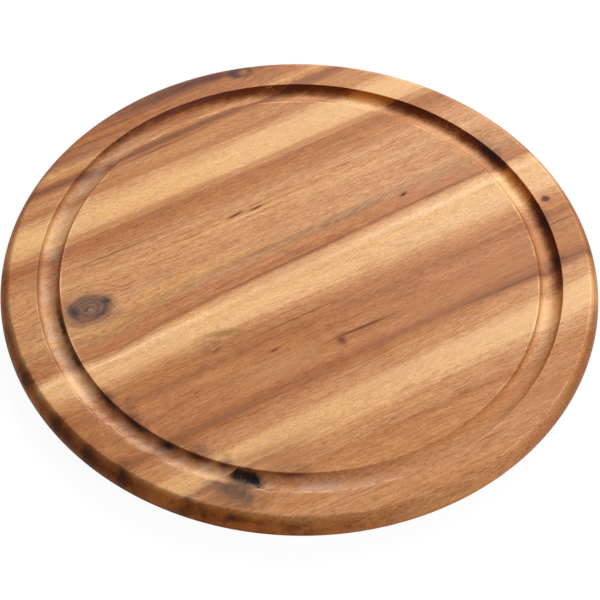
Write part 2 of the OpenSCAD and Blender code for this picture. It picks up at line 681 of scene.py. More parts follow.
class WoodPainter:
    """Paints the wood of one stave, layer over layer.

    Attributes:
        finish: What the stave looks like.
        weaver: Adds the nodes.
        grain: Where a point lies in the grain.
        colour: The colour so far.
    """

    def __init__(self, finish: AcaciaFinish, weaver: NodeWeaver) -> None:
        """Starts on the bare growth bands.

        Args:
            finish: What the stave looks like.
            weaver: Adds the nodes.
        """
        self.finish = finish
        self.weaver = weaver
        self.grain = self.find_grain()
        self.colour = self.lay_bands()

    def noise(self, cloud: Cloud) -> Socket:
        """Adds one of the stave's noises."""
        place = self.grain.bent if cloud.bent else self.grain.place
        seed = self.finish.seed + cloud.seed
        return self.weaver.noise(place, cloud.spans, seed, cloud.detail)

    def cloud(self, cloud: Cloud) -> Socket:
        """Adds one of the stave's noises, with its smooth step."""
        return self.weaver.fade(self.noise(cloud), cloud.step)

    def tint(self, amount: Feed, above: Tone | Socket, mode: Blend = Blend.COVER) -> None:
        """Lays a tone or a colour over the colour so far."""
        upper = above.linear() if isinstance(above, Tone) else above
        self.colour = self.weaver.blend(amount, self.colour, upper, mode)

    def upper(self) -> Socket:
        """Tells the grooved side, at 1, from the plain underside, at 0."""
        return self.weaver.fade(self.grain.height, UPPER_SIDE)

    def toward(self, bearing: float) -> Socket:
        """Tells how far round the board a point lies from a bearing.

        Args:
            bearing: Bearing of the side that is looked for, in radians.

        Returns:
            A socket that runs from 1 on that side to -1 on the side across from it.
        """
        ahead = self.weaver.product(self.grain.along, math.cos(bearing))
        ahead = self.weaver.math("MULTIPLY_ADD", self.grain.across, math.sin(bearing), ahead)
        return self.weaver.math("DIVIDE", ahead, self.grain.radius)

    def find_grain(self) -> Grain:
        """Finds where a point lies in the grain.

        Returns:
            The point's places in the board and in the grain.
        """
        finish, weaver = self.finish, self.weaver
        place = weaver.place()
        along, across, height = weaver.add("ShaderNodeSeparateXYZ", {"Vector": place}).outputs
        flow = across
        for cloud, reach in ((WANDER, finish.wander), (RIPPLE, finish.ripple)):
            noise = weaver.noise(place, cloud.spans, finish.seed + cloud.seed)
            flow = weaver.sway(flow, noise, 2.0 * reach)
        depth = weaver.minus(height, BOARD_TOP)
        flow = weaver.math("MULTIPLY_ADD", depth, finish.lean, flow)
        if finish.tilt:
            tilt = finish.tilt
            nearness = weaver.bell((weaver.minus(across, tilt.across), tilt.reach))
            rise = weaver.product(along, -tilt.slope)
            flow = weaver.math("MULTIPLY_ADD", rise, nearness, flow)
        for knot in finish.knots:
            beside = weaver.minus(along, knot.along)
            above = weaver.minus(across, knot.across)
            nearness = weaver.bell(
                (beside, EDDY_LENGTH * knot.half_length), (above, EDDY_WIDTH * knot.half_width)
            )
            flow = weaver.math("MULTIPLY_ADD", weaver.product(above, -knot.push), nearness, flow)
        squared = weaver.math("MULTIPLY_ADD", along, along, weaver.product(across, across))
        radius = weaver.math("SQRT", squared)
        bent = weaver.add("ShaderNodeCombineXYZ", {"X": along, "Y": flow, "Z": height})
        return Grain(place, bent.outputs["Vector"], along, across, height, radius, flow)

    def lay_bands(self) -> Socket:
        """Colours the growth bands.

        Returns:
            The colour's socket.
        """
        bands = self.finish.bands
        low, high = bands[0].across, bands[-1].across
        inputs = {"Value": self.grain.flow, "From Min": low, "From Max": high}
        share = self.weaver.add("ShaderNodeMapRange", inputs)
        stops = [((band.across - low) / (high - low), band.tone.linear()) for band in bands]
        return self.weaver.ramp(share.outputs["Result"], stops).outputs["Color"]

    def lay_streaks(self) -> Socket:
        """Draws streaks, growth lines and pores along the grain, and paints a grey sheen over the
        wood.

        Returns:
            The height of the surface, from 0 to 1.
        """
        weaver = self.weaver
        for streak in STREAKS:
            fibre = self.noise(streak)
            spared = weaver.fade(weaver.paleness(self.colour), STREAKS_ON_PALE)
            dark = weaver.product(weaver.fade(fibre, streak.step), spared)
            self.tint(dark, Tone.STREAK, Blend.STAIN)
        paleness = weaver.paleness(self.colour)
        turn = weaver.math("FRACT", weaver.product(self.noise(GROWTH), LINES_PER_SWELL))
        line = weaver.math("MAXIMUM", weaver.fade(turn, GROWTH_LINE), self.cloud(THREADS))
        where = weaver.product(self.cloud(LINED), weaver.fade(paleness, LINES_ON_PALE))
        self.tint(weaver.product(line, where), Tone.STREAK, Blend.STAIN)
        self.tint(self.cloud(GLEAM), Tone.SAP)
        pore = self.cloud(PORES)
        self.tint(weaver.product(pore, PORE_DARKNESS), Tone.PORE, Blend.STAIN)
        self.tint(self.cloud(DRIFT), Tone.OCHRE, Blend.STAIN)
        self.paint_sheen(paleness)
        light = weaver.product(self.cloud(SHIMMER), self.cloud(SPECKLE))
        self.colour = weaver.scale(self.colour, light)
        return weaver.math("MULTIPLY_ADD", pore, PORE_DEPTH, fibre)

    def paint_sheen(self, paleness: Socket) -> None:
        """Paints a grey sheen over one end of the board, and a mottled sheen in the groove at the
        other.

        Args:
            paleness: Brightness of the wood between its lines.
        """
        weaver, grain = self.weaver, self.grain
        greyed = weaver.product(
            weaver.fade(grain.along, SHEEN_END), weaver.fade(paleness, SHEEN_ON_PALE)
        )
        within = weaver.product(
            weaver.bell((weaver.minus(grain.radius, GROOVE), GROOVE_HALF)),
            weaver.fade(grain.along, MOTTLED_END),
            self.upper(),
        )
        amount = weaver.math("MULTIPLY_ADD", self.cloud(MOTTLING), within, greyed)
        self.tint(amount, Tone.SHEEN_GREY)

    def lay_figure(self) -> None:
        """Draws the stave's own feathers, knots and marks."""
        for feather in self.finish.feathers:
            self.lay_feather(feather)
        for knot in self.finish.knots:
            self.lay_knot(knot)
        grit, fray = self.cloud(GRIT), self.cloud(FRAY)
        for mark in self.finish.marks:
            self.lay_mark(mark, grit if mark.height is None else fray)

    def lay_feather(self, feather: Feather) -> None:
        """Strokes a feathered patch.

        Args:
            feather: The patch.
        """
        weaver, grain = self.weaver, self.grain
        centre = (feather.along, feather.across, BOARD_TOP)
        turned = weaver.add(
            "ShaderNodeVectorRotate",
            {"Vector": grain.place, "Center": centre, "Angle": feather.turn},
            rotation_type="Z_AXIS",
        )
        spans = (*feather.stroke, FEATHER_THROUGH)
        seed = self.finish.seed + FEATHER_SEED
        strokes = weaver.noise(turned.outputs["Vector"], spans, seed)
        nearness = weaver.bell(
            (weaver.minus(grain.along, feather.along), feather.half_length),
            (weaver.minus(grain.across, feather.across), feather.half_width),
        )
        dark = weaver.fade(strokes, FEATHER_STROKE._replace(high=feather.depth))
        self.tint(weaver.product(dark, nearness), feather.tone)

    def lay_mark(self, mark: Mark, uneven: Socket) -> None:
        """Draws one mark.

        Args:
            mark: The mark.
            uneven: Unevenness that breaks the mark up, or that frays the outline of a stain.
        """
        weaver, grain = self.weaver, self.grain
        beside = weaver.minus(grain.along, mark.along)
        slope = weaver.math("MULTIPLY_ADD", beside, mark.bow, mark.slant)
        middle = weaver.math("MULTIPLY_ADD", slope, beside, mark.across)
        above = weaver.minus(grain.across, middle)
        offsets: list[tuple[Feed, float]] = [(beside, mark.half_length), (above, mark.half_width)]
        breaking = "MULTIPLY"
        if mark.height is not None:
            offsets.append((weaver.minus(grain.height, mark.height), mark.half_height))
            breaking = "POWER"
        amount = weaver.math(breaking, weaver.bell(*offsets), uneven)
        self.tint(weaver.product(amount, mark.strength), mark.tone)

    def lay_knot(self, knot: Knot) -> None:
        """Draws one knot, from its core to the wood round it.

        Args:
            knot: The knot.
        """
        weaver, grain = self.weaver, self.grain
        beside = weaver.math("DIVIDE", weaver.minus(grain.along, knot.along), knot.half_length)
        above = weaver.math("DIVIDE", weaver.minus(grain.across, knot.across), knot.half_width)
        squared = weaver.math("MULTIPLY_ADD", beside, beside, weaver.product(above, above))
        size = 0.5 * (knot.half_length + knot.half_width)
        outline = self.noise(KNOT_OUTLINE.sized(size))
        distance = weaver.sway(weaver.math("SQRT", squared), outline, KNOT_WOBBLE)
        distance = weaver.sway(distance, self.noise(KNOT_GRIT), KNOT_FRAY)
        body = weaver.ramp(weaver.product(distance, KNOT_SHARE), knot.stops())
        eddy = self.noise(KNOT_EDDY.sized(size))
        around = weaver.math("ARCTAN2", above, beside)
        swirl = weaver.math("MULTIPLY_ADD", eddy, RING_TWIST, around)
        turns = weaver.math("MULTIPLY_ADD", distance, 2.0 * math.pi * knot.rings, swirl)
        wave = weaver.math("SINE", turns)
        shade = weaver.math("MULTIPLY_ADD", wave, knot.contrast, RING_SHADE)
        ringed = weaver.scale(body.outputs["Color"], shade)
        self.tint(weaver.product(body.outputs["Alpha"], knot.cover), ringed)

    def tear_and_shade_outer_wall(self) -> None:
        """Paints shade on the groove's outer wall where it faces away from the key lamp.

        There the cutter ran against the grain, and the fibres it tore out drink in more of the
        finish; the dark is partly that and partly painted shade, with a ragged lower edge.
        """
        weaver, grain = self.weaver, self.grain
        # The side is found by the key lamp's bearing: painted shade where the wall faces away from
        # the lamp.
        side = weaver.product(weaver.fade(self.toward(KEY_BEARING), TORN_SHADE_SIDE), self.upper())
        level = weaver.sway(grain.radius, self.noise(RAGS), TORN_SHADE_RAGGEDNESS)
        level = weaver.minus(level, weaver.fade(grain.along, DEEPER_TEAR_AND_SHADE))
        wall = weaver.product(weaver.fade(level, TORN_SHADE_WALL), weaver.fade(grain.radius, TORN_SHADE_LIP))
        pale = weaver.fade(weaver.paleness(self.colour), TORN_SHADE_ON_PALE)
        wall_shade = weaver.blend(pale, Tone.TORN_SHADE.linear(), Tone.TORN_SHADE_SAP.linear())
        self.tint(weaver.product(side, wall), wall_shade, Blend.STAIN)

    def oil_and_shade_steep_faces(self) -> None:
        """Darkens the edge and the groove's walls, whose cut fibres soak up more of the finish.

        The tone is warmer on faces turned from the lamps and greyer on faces towards them: painted
        light and shade.
        """
        weaver, grain = self.weaver, self.grain
        facing = weaver.add("ShaderNodeTexCoord").outputs["Normal"]
        along, _, upward = weaver.add("ShaderNodeSeparateXYZ", {"Vector": facing}).outputs
        outside = weaver.fade(grain.radius, OUTSIDE)
        level = weaver.math("ABSOLUTE", upward)
        level = weaver.math("MULTIPLY_ADD", outside, STEEPER_OUTSIDE, level)
        cut = weaver.fade(weaver.math("ABSOLUTE", along), END_GRAIN)
        oiled = weaver.product(weaver.fade(level, STEEP), cut)
        # Faces that look left are turned from the lamps; splitting the tone by facing paints their
        # light and shade.
        left = weaver.fade(along, LEFT_FACING)
        oil_and_shade = weaver.blend(left, Tone.OILED_IN_LIGHT.linear(), Tone.OILED_IN_SHADE.linear())
        self.tint(oiled, oil_and_shade, Blend.STAIN)
        self.tint(weaver.product(oiled, outside, self.cloud(GOLD), left), Tone.RUST)
        low = weaver.product(
            weaver.fade(grain.height, STAINED_BELOW), weaver.fade(left, STAINED_LEFT)
        )
        self.tint(weaver.product(oiled, self.cloud(BLOTCHES), low), Tone.KNOT_BROWN)

    def highlight_and_wear_arrises(self) -> None:
        """Paints pale highlight lines on the lips of the groove and the crease of the edge, partly
        worn pale.

        Across from the painted shade, where the outer wall faces the key lamp, a pale bloom below
        the outer lip is painted sheen, partly raised fibres.
        """
        weaver, grain = self.weaver, self.grain
        pale = weaver.fade(weaver.paleness(self.colour), HIGHLIGHT_AND_WEAR_ON_PALE)
        sound = weaver.product(self.upper(), pale)
        # Painted sheen on the outer wall across from the painted shade, where it faces the key
        # lamp, partly raised fibres.
        behind = weaver.fade(self.toward(KEY_BEARING), SHEEN_BLOOM_SIDE)
        wall = weaver.bell((weaver.minus(grain.radius, FUZZ_AND_SHEEN_WALL), FUZZ_AND_SHEEN_HALF))
        self.tint(weaver.product(self.cloud(SHEEN_BLOOM), behind, wall, sound), Tone.FUZZ_AND_SHEEN)
        # Painted highlight lines, partly worn pale, broken up by a noise and stronger on one side
        # of the board.
        highlight_and_rub = weaver.product(self.cloud(HIGHLIGHT_AND_WEAR_PATCHES), sound)
        front = self.toward(FRONT_BEARING)
        for arris in ARRISES:
            line = weaver.bell((weaver.minus(grain.radius, arris.radius), arris.half_width))
            highlight_and_wear_step = FRONT_SIDE._replace(low=arris.back_highlight_and_wear, high=arris.front_highlight_and_wear)
            self.tint(weaver.product(line, weaver.fade(front, highlight_and_wear_step), highlight_and_rub), Tone.CREAM)

    def roughness(self, relief: Socket) -> Socket:
        """Makes the pores duller than the fibres, and the low edge duller still.

        Args:
            relief: Height of the surface, from 0 to 1.

        Returns:
            The roughness.
        """
        base = self.finish.roughness
        sheen = self.weaver.fade(relief, WOOD_SHEEN.around(base))
        dull = self.weaver.fade(self.grain.height, DULL_BELOW)
        return self.weaver.math("ADD", sheen, dull)


@dataclass(frozen=True)
class GlueFinish:
    """Cured wood glue, sanded flush, with wood dust in it."""

    name: str
    film: Tone = Tone.GLUE
    dust: Tone = Tone.UMBER
    roughness: float = 0.5

    def material(self) -> bpy.types.Material:
        """Weaves the glue's finish.

        Returns:
            The finished material.
        """
        material, weaver, output = new_material(self.name)
        dust = weaver.noise(weaver.place(), GLUE_DUST.spans, GLUE_DUST.seed)
        dusty = weaver.fade(dust, GLUE_DUST.step)
        colour = weaver.blend(dusty, self.film.linear(), self.dust.linear())
        sheen = weaver.fade(dust, GLUE_SHEEN.around(self.roughness))
        weaver.surface(output, colour, sheen, dust, GLUE_BUMP)
        return material


@dataclass
class TurnedSection:
    """Half section of the turned board, in metres from its axis and its underside.

    Attributes:
        radius: Radius at the widest part of the edge.
        thickness: Height of the serving face.
        edge_reach: How far the rounded edge reaches in on either face.
        crease_radius: Radius that eases the crease between edge and face.
        rim_width: From the outermost edge to the groove.
        groove_width: From lip to lip.
        groove_depth: Below the serving face.
        lip_radius: Radius of the rounded lips.
        holding: Width of the flat strip beside each curve, which keeps the faces flat.
        crease_steps: Chords of an eased crease.
        edge_steps: Chords of the rounded edge.
        lip_steps: Chords of a rounded lip.
        cove_steps: Chords of the groove.
    """

    radius: float
    thickness: float
    edge_reach: float = 0.0050
    crease_radius: float = 0.0015
    rim_width: float = 0.0195
    groove_width: float = 0.0124
    groove_depth: float = 0.0037
    lip_radius: float = 0.0006
    holding: float = 0.0005
    crease_steps: int = 5
    edge_steps: int = 28
    lip_steps: int = 6
    cove_steps: int = 30

    def arc(
        self, centre: Vector, radius: float, start: float, end: float, steps: int
    ) -> list[Vector]:
        """Points of an arc in the section.

        Args:
            centre: Centre of the arc.
            radius: Its radius.
            start: Angle of its first point, from the outward direction, in radians.
            end: Angle of its last point.
            steps: Number of chords.

        Returns:
            The points, ends included.
        """
        angles = [start + (end - start) * step / steps for step in range(steps + 1)]
        return [centre + radius * Vector((math.cos(angle), math.sin(angle))) for angle in angles]

    def edge(self) -> list[Vector]:
        """Points of the rounded edge, from the underside to the top.

        Returns:
            The points, with a holding point on each face.
        """
        half = self.thickness / 2
        bulge = (self.edge_reach**2 + half**2) / (2 * self.edge_reach)
        middle = Vector((self.radius - bulge, half))
        drop = half - self.crease_radius
        inward = math.sqrt((bulge - self.crease_radius) ** 2 - drop**2)
        lean = math.atan2(drop, inward)
        lower = middle + Vector((inward, -drop))
        upper = middle + Vector((inward, drop))
        points = [Vector((lower.x - self.holding, 0.0))]
        points += self.arc(lower, self.crease_radius, -math.pi / 2, -lean, self.crease_steps)
        points += self.arc(middle, bulge, -lean, lean, self.edge_steps)[1:]
        points += self.arc(upper, self.crease_radius, lean, math.pi / 2, self.crease_steps)[1:]
        return points + [Vector((upper.x - self.holding, self.thickness))]

    def groove(self) -> list[Vector]:
        """Points of the juice groove, from the rim to the serving face.

        Returns:
            The points, with a holding point on either side.
        """
        cove = (self.groove_width**2 / 4 + self.groove_depth**2) / (2 * self.groove_depth)
        rise = cove - self.groove_depth
        axis = self.radius - self.rim_width - self.groove_width / 2
        drop = rise + self.lip_radius
        spread = math.sqrt((cove + self.lip_radius) ** 2 - drop**2)
        slope = math.atan2(drop, spread)
        lip_height = self.thickness - self.lip_radius
        outer = Vector((axis + spread, lip_height))
        inner = Vector((axis - spread, lip_height))
        centre = Vector((axis, self.thickness + rise))
        points = [Vector((outer.x + self.holding, self.thickness))]
        points += self.arc(outer, self.lip_radius, math.pi / 2, math.pi - slope, self.lip_steps)
        points += self.arc(centre, cove, -slope, slope - math.pi, self.cove_steps)[1:]
        points += self.arc(inner, self.lip_radius, slope, math.pi / 2, self.lip_steps)[1:]
        return points + [Vector((inner.x - self.holding, self.thickness))]


@dataclass
class TurnedBlank:
    """The whole board, turned in one piece, from which the staves and films are sliced."""

    section: TurnedSection
    steps: int = 360
    crease_angle: float = math.radians(35.0)

    def close_up(self) -> None:
        """Points all faces outwards and leaves edit mode."""
        bpy.ops.mesh.select_all(action="SELECT")
        bpy.ops.mesh.normals_make_consistent(inside=False)
        bpy.ops.object.mode_set(mode="OBJECT")

    def turn(self) -> bpy.types.Object:
        """Turns the blank: a round cap is drawn up from the underside along the section.

        Returns:
            The blank's object.
        """
        path = self.section.edge() + self.section.groove()
        bpy.ops.object.select_all(action="DESELECT")
        bpy.ops.mesh.primitive_circle_add(
            vertices=self.steps, radius=path[0].x, fill_type="NGON", location=(0.0, 0.0, path[0].y)
        )
        bpy.ops.object.mode_set(mode="EDIT")
        bpy.ops.mesh.select_mode(type="FACE")
        bpy.ops.mesh.select_all(action="SELECT")
        for here, there in zip(path, path[1:]):
            grow = there.x / here.x
            rise = (0.0, 0.0, there.y - here.y)
            bpy.ops.mesh.extrude_region_move(TRANSFORM_OT_translate={"value": rise})
            bpy.ops.transform.resize(value=(grow, grow, 1.0), center_override=(0.0, 0.0, there.y))
        self.close_up()
        blank = bpy.context.active_object
        blank.name = "turned_blank"
        bpy.ops.object.transform_apply(location=True, rotation=True, scale=True)
        return blank

    def slice(self, blank: bpy.types.Object, name: str, node: str) -> bpy.types.Object:
        """Cuts the part of the blank that one CAD node fills.

        Args:
            blank: The turned blank.
            name: Name of the new piece.
            node: CAD node whose front and back faces it gets.

        Returns:
            The new piece, closed along its joints.
        """
        low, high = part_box(node)
        bpy.ops.object.select_all(action="DESELECT")
        blank.select_set(True)
        bpy.context.view_layer.objects.active = blank
        bpy.ops.object.duplicate(linked=False)
        piece = bpy.context.active_object
        piece.name = name
        piece.data.name = name
        bpy.ops.object.mode_set(mode="EDIT")
        for joint, keep_back in ((low.y, True), (high.y, False)):
            if abs(joint) < self.section.radius - self.section.edge_reach:
                bpy.ops.mesh.select_all(action="SELECT")
                bpy.ops.mesh.bisect(
                    plane_co=(0.0, joint, 0.0),
                    plane_no=(0.0, 1.0, 0.0),
                    use_fill=True,
                    clear_inner=keep_back,
                    clear_outer=not keep_back,
                )
        self.close_up()
        bpy.ops.object.shade_smooth_by_angle(angle=self.crease_angle)
        return piece


@dataclass
class BoardPiece:
    """One stave or glue film of the board."""

    name: str
    node: str
    slot: Slot
    finish: AcaciaFinish | GlueFinish

    def build(self, turned: TurnedBlank, blank: bpy.types.Object) -> bpy.types.Object:
        """Slices the piece from the blank and ties it to the part.

        Args:
            turned: The blank's maker.
            blank: The turned blank.

        Returns:
            The new piece.
        """
        piece = turned.slice(blank, self.name, self.node)
        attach(piece, "root")
        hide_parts(self.node)
        return piece

    def dress(self, piece: bpy.types.Object) -> None:
        """Gives the piece its finish."""
        piece.data.materials.clear()
        piece.data.materials.append(self.finish.material())


BACK_EDGE_WOOD = AcaciaFinish(
    name="acacia_back_edge",
    seed=2.0,
    lean=-0.2,
    bands=(
        Band(123.5, Tone.UMBER),
        Band(126.5, Tone.TAN),
        Band(129.0, Tone.STRAW),
        Band(132.0, Tone.TAN),
        Band(136.0, Tone.CARAMEL),
        Band(140.0, Tone.RUSSET),
        Band(144.0, Tone.RUSSET),
        Band(148.0, Tone.UMBER),
        Band(152.0, Tone.PLUM),
        Band(158.0, Tone.BARK),
    ),
    knots=(
        Knot(45.5, 146.0, 6.5, 4.0, Tone.KNOT_FLESH, Tone.KNOT_FLESH, rings=0.8),
    ),
    marks=(
        Mark(16.0, 151.5, 34.0, 3.0, Tone.KNOT_PURPLE, 0.95, bow=-0.0012),
        Mark(41.8, 147.0, 3.4, 2.2, Tone.INK, 1.1, slant=-0.1),
        Mark(31.0, 149.2, 12.0, 1.7, Tone.KNOT_PURPLE, 0.95, slant=-0.12),
        Mark(49.0, 141.8, 3.4, 1.0, Tone.KNOT_BROWN, 0.70, slant=0.3),
        Mark(51.6, 144.0, 1.4, 2.4, Tone.KNOT_BROWN, 0.65),
        Mark(46.0, 145.2, 5.0, 2.8, Tone.KNOT_BROWN, 0.80),
        Mark(47.4, 145.2, 2.3, 1.5, Tone.KNOT_ORANGE, 0.95),
        Mark(46.9, 145.3, 0.9, 0.5, Tone.KNOT_BROWN, 0.80),
        Mark(8.0, 150.8, 26.0, 1.1, Tone.BARK, 0.70, slant=-0.07),
        Mark(64.0, 142.5, 14.0, 1.5, Tone.KNOT_BROWN, 0.55, slant=-0.25),
        Mark(-30.0, 146.0, 30.0, 1.0, Tone.KNOT_BROWN, 0.45),
        Mark(-70.0, 136.0, 24.0, 4.0, Tone.PLUM, 0.90),
        Mark(-55.0, 141.0, 30.0, 0.9, Tone.KNOT_BROWN, 0.50),
    ),
)

NARROW_WOOD = AcaciaFinish(
    name="acacia_narrow",
    seed=11.0,
    lean=0.15,
    bands=(
        Band(80.0, Tone.CARAMEL),
        Band(83.6, Tone.HONEY),
        Band(87.0, Tone.SAP_SHADE),
        Band(93.0, Tone.SAP_SHADE),
        Band(100.0, Tone.SAP_SHADE),
        Band(104.4, Tone.STRAW),
        Band(107.3, Tone.CARAMEL),
        Band(113.0, Tone.HONEY),
        Band(116.5, Tone.TAN),
        Band(119.5, Tone.RUSSET),
        Band(122.0, Tone.PLUM),
        Band(125.0, Tone.UMBER),
    ),
    marks=(
        Mark(-88.0, 121.2, 30.0, 1.5, Tone.BARK, 0.52),
        Mark(-36.0, 121.6, 20.0, 1.0, Tone.KNOT_FLESH, 0.65, slant=0.02),
        Mark(-20.0, 118.5, 26.0, 0.6, Tone.KNOT_BROWN, 0.55, slant=0.03),
        Mark(4.0, 123.2, 36.0, 1.5, Tone.BARK, 0.62),
        Mark(95.0, 97.0, 60.0, 6.0, Tone.SAP, 0.60),
        Mark(95.0, 82.0, 45.0, 4.0, Tone.RUSSET, 0.55),
        Mark(80.0, 120.5, 30.0, 2.6, Tone.PLUM, 0.80),
        Mark(-30.0, 107.5, 60.0, 0.8, Tone.RUSSET, 0.60),
        Mark(-60.0, 112.0, 14.0, 0.5, Tone.KNOT_BROWN, 0.50, slant=0.03),
    ),
)

KNOT_WOOD = AcaciaFinish(
    name="acacia_knot",
    seed=23.0,
    lean=0.25,
    tilt=Tilt(slope=0.028, across=12.0, reach=22.0),
    bands=(
        Band(0.0, Tone.SAP),
        Band(2.0, Tone.SAP),
        Band(5.8, Tone.BLUSH),
        Band(8.5, Tone.SAP_SHADE),
        Band(11.0, Tone.STRAW),
        Band(13.2, Tone.RUSSET),
        Band(15.8, Tone.CARAMEL),
        Band(19.0, Tone.ROSE),
        Band(22.0, Tone.TAN),
        Band(26.0, Tone.GREIGE),
        Band(31.0, Tone.STRAW),
        Band(38.0, Tone.HONEY),
        Band(50.0, Tone.STRAW),
        Band(62.0, Tone.HONEY),
        Band(69.0, Tone.TAN),
        Band(72.5, Tone.CARAMEL),
        Band(76.0, Tone.UMBER),
        Band(80.0, Tone.RUSSET),
    ),
    knots=(
        Knot(
            -107.6, 37.0, 13.2, 10.2, Tone.KNOT_PALE, Tone.KNOT_FLESH, rings=3.4, contrast=0.34
        ),
    ),
    feathers=(
        Feather(48.0, 26.2, 44.0, 3.0, turn=-0.20, depth=0.58, tone=Tone.BARK, stroke=(6.0, 0.7)),
        Feather(0.0, 27.6, 26.0, 2.4, turn=-0.20, depth=0.25, tone=Tone.BARK, stroke=(6.0, 0.7)),
        Feather(-94.0, 26.0, 10.0, 3.5, turn=0.3, depth=0.50, tone=Tone.BARK, stroke=(6.0, 0.9)),
    ),
    marks=(
        Mark(-96.8, 38.1, 2.8, 2.9, Tone.KNOT_GREY, 1.0),
        Mark(-115.6, 39.0, 2.1, 4.6, Tone.KNOT_GREY, 1.1),
        Mark(-103.5, 31.6, 4.2, 1.5, Tone.KNOT_GREY, 0.85, slant=0.17),
        Mark(-108.8, 37.6, 1.8, 0.8, Tone.INK, 0.75, slant=0.5, bow=0.2),
        Mark(-106.8, 36.6, 1.1, 0.8, Tone.BLUSH, 0.30),
        # Dark streaks on the groove's walls at the left: partly stains, partly painted shade.
        Mark(
            -121.4, 47.8, 3.2, 5.0, Tone.KNOT_BROWN, 1.3, slant=2.54, height=14.8, half_height=1.6
        ),
        Mark(-124.9, 36.2, 3.1, 6.2, Tone.INK, 1.3, slant=3.44, height=14.8, half_height=1.6),
        Mark(-129.8, 12.5, 2.0, 10.0, Tone.TAR, 1.3, height=14.8, half_height=1.6),
        Mark(-121.0, 70.0, 9.0, 22.0, Tone.UMBER, 0.80, height=14.6, half_height=1.5),
        Mark(-113.0, 32.5, 5.0, 2.0, Tone.PLUM, 0.55, slant=-0.25),
        Mark(-7.5, 56.2, 4.4, 0.62, Tone.CHECK, 1.8, slant=0.06),
        Mark(4.5, 55.0, 3.4, 0.66, Tone.CHECK, 2.0, slant=0.05),
        Mark(-75.0, 65.0, 26.0, 0.55, Tone.KNOT_BROWN, 0.65, slant=-0.02),
        Mark(-20.0, 53.0, 70.0, 0.6, Tone.SAP, 0.40, bow=0.0004),
        Mark(79.0, 24.0, 2.4, 0.9, Tone.KNOT_BROWN, 1.3, slant=0.25),
        Mark(90.0, 19.5, 40.0, 0.8, Tone.RUSSET, 0.6),
        Mark(-62.0, 11.8, 56.0, 0.6, Tone.PLUM, 0.40, slant=0.028),
        Mark(8.0, 13.8, 40.0, 0.65, Tone.BARK, 0.80, slant=0.030),
        Mark(92.0, 16.4, 38.0, 0.60, Tone.BARK, 0.65, slant=0.022),
        Mark(-4.0, 8.0, 44.0, 3.0, Tone.TAN, 0.50, slant=0.01),
        Mark(0.0, 2.0, 50.0, 6.0, Tone.STRAW, 0.35),
        # Near-black on the groove's outer wall at the right: partly stain, partly painted shade on
        # the wall turned from the key lamp.
        Mark(137.5, 29.0, 6.0, 13.0, Tone.TAR, 0.95, height=14.4, half_height=2.0),
        # Dark low on the left edge: partly stains, partly painted shade on the side turned from
        # the lamps.
        Mark(-153.0, 28.0, 12.0, 16.0, Tone.INK, 0.85, height=2.0, half_height=6.0),
        Mark(-157.0, 13.0, 8.0, 7.0, Tone.TAR, 1.0, height=12.5, half_height=4.0),
        Mark(-136.0, 82.0, 10.0, 10.0, Tone.AMBER, 0.45, height=11.0, half_height=5.0),
    ),
)

